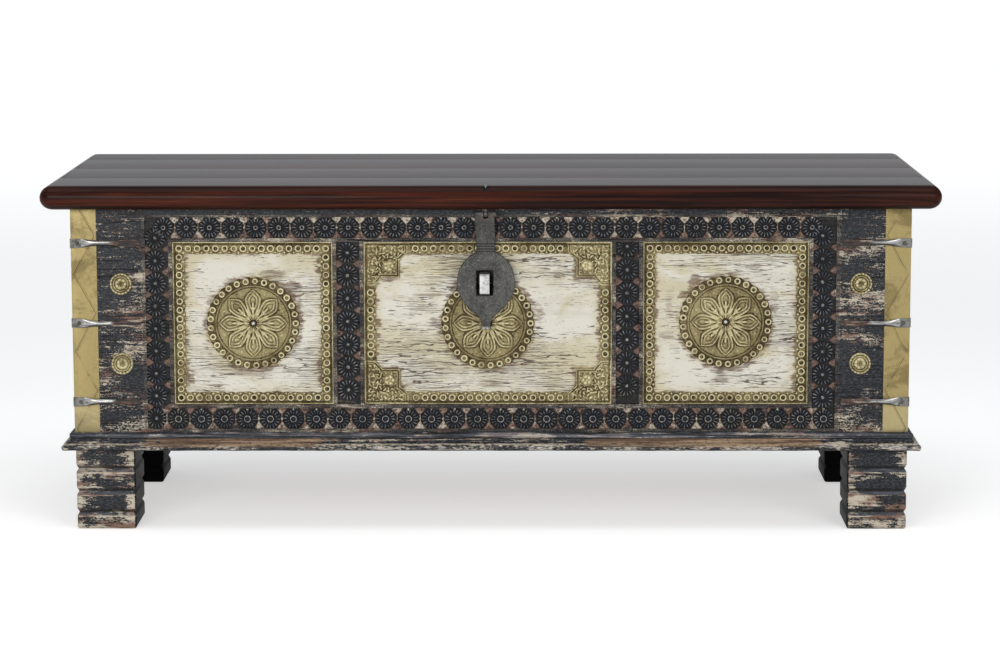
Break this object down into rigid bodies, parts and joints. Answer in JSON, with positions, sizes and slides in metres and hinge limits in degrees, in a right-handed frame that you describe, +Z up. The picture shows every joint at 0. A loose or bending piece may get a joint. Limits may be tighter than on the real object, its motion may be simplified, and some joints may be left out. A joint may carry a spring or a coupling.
{
  "type": "dowry chest",
  "caption": "Low panelled wooden chest with a hinged lid, brass medallions and corner plates, iron straps and a hasp over a lock staple.",
  "frame": {"origin": "on the floor, under the middle of the lid", "axes": "+X along the chest to the right, -Y towards the front with the hasp, +Z up"},
  "size_m": [1.16, 0.41, 0.4555],
  "materials": {
    "lid_wood": "polished dark red-brown, full gloss",
    "cream_paint": "distressed cream paint over brown wood",
    "black_paint": "distressed black paint, worn to pale wood",
    "bare_wood": "unfinished hardwood",
    "old_brass": "embossed sheet, aged",
    "forged_iron": "forged, dark grey",
    "bright_steel": "worn bright"
  },
  "bodies": {
    "chest": {"back_boards": "black_paint", "base_moulding_front": "black_paint", "base_moulding_left": "black_paint", "base_moulding_right": "black_paint", "base_rail_rear": "black_paint", "corner_brass_left": "old_brass", "corner_brass_right": "old_brass", "corner_ornaments": "old_brass", "corner_straps_left": "forged_iron", "corner_straps_right": "forged_iron", "floor_boards": "bare_wood", "foot_front_left": "black_paint", "foot_front_right": "black_paint", "foot_rear_left": "black_paint", "foot_rear_right": "black_paint", "front_bottom_rail": "black_paint", "front_inner_stile_left": "black_paint", "front_inner_stile_right": "black_paint", "front_outer_stile_left": "black_paint", "front_outer_stile_right": "black_paint", "front_panel_centre": "cream_paint", "front_panel_left": "cream_paint", "front_panel_right": "cream_paint", "front_top_rail": "black_paint", "hinge_body_leaves": "forged_iron", "hinge_pins": "forged_iron", "lock_staple": "bright_steel", "medallion_centre": "old_brass", "medallion_left": "old_brass", "medallion_nails": "bright_steel", "medallion_right": "old_brass", "panel_trim_centre": "old_brass", "panel_trim_left": "old_brass", "panel_trim_right": "old_brass", "post_front_left": "black_paint", "post_front_right": "black_paint", "post_rear_left": "black_paint", "post_rear_right": "black_paint", "side_boards_left": "black_paint", "side_boards_right": "black_paint", "stile_bosses": "old_brass", "strap_nails": "bright_steel"},
    "lid": {"hasp_eye": "bright_steel", "hinge_lid_leaves": "forged_iron", "lid_battens": "lid_wood", "lid_board_front": "lid_wood", "lid_board_mid_front": "lid_wood", "lid_board_mid_rear": "lid_wood", "lid_board_rear": "lid_wood"},
    "hasp": {"hasp": "forged_iron", "hasp_pin": "forged_iron"}
  },
  "joints": [
    {"name": "lid_hinge", "type": "hinge", "parent": "chest", "child": "lid", "pos_m": [0, 0.189, 0.4205], "axis": [-1, 0, 0], "range_deg": [0, 105]},
    {"name": "hasp_swing", "type": "hinge", "parent": "lid", "child": "hasp", "pos_m": [-0.0057, -0.19, 0.4185], "axis": [-1, 0, 0], "range_deg": [0, 115]}
  ]
}
